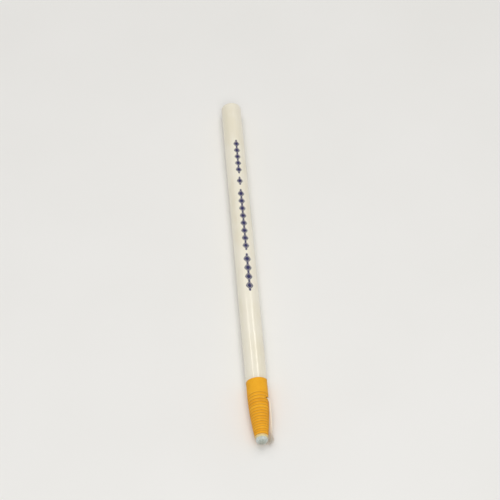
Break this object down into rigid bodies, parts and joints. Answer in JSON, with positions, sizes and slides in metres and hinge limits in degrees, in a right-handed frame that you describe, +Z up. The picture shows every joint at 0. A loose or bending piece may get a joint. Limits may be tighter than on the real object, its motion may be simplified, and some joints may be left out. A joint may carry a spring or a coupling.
{
  "type": "china marker",
  "caption": "Round peel-off marking pencil: a wax core in a spiral-wound paper casing under a white jacket, with a bared tapered nose and a string to unwind it.",
  "frame": {"origin": "middle of the marker's length, on the surface that the barrel lies on", "axes": "+X along the barrel towards the writing tip, +Z up, string on the +Y side"},
  "size_m": [0.181, 0.0098, 0.009],
  "materials": {
    "wax": "waxy white, slightly translucent",
    "wound_paper": "orange-yellow dyed paper, matt",
    "cotton": "undyed twisted cotton",
    "jacket": "cream-white lacquered paper, soft gloss",
    "lacquer": "cream-white lacquer"
  },
  "bodies": {
    "barrel": {"wax_core": "wax", "paper_casing": "wound_paper", "pull_string_run": "cotton", "outer_jacket": "jacket", "end_seal": "lacquer"},
    "string_tail": {"pull_string_tail": "cotton"}
  },
  "joints": [
    {"name": "string_fold", "type": "hinge", "parent": "barrel", "child": "string_tail", "pos_m": [0.0717, 0.00456, 0.00598], "axis": [0, -0.309, 0.9511], "range_deg": [0, 158]}
  ]
}
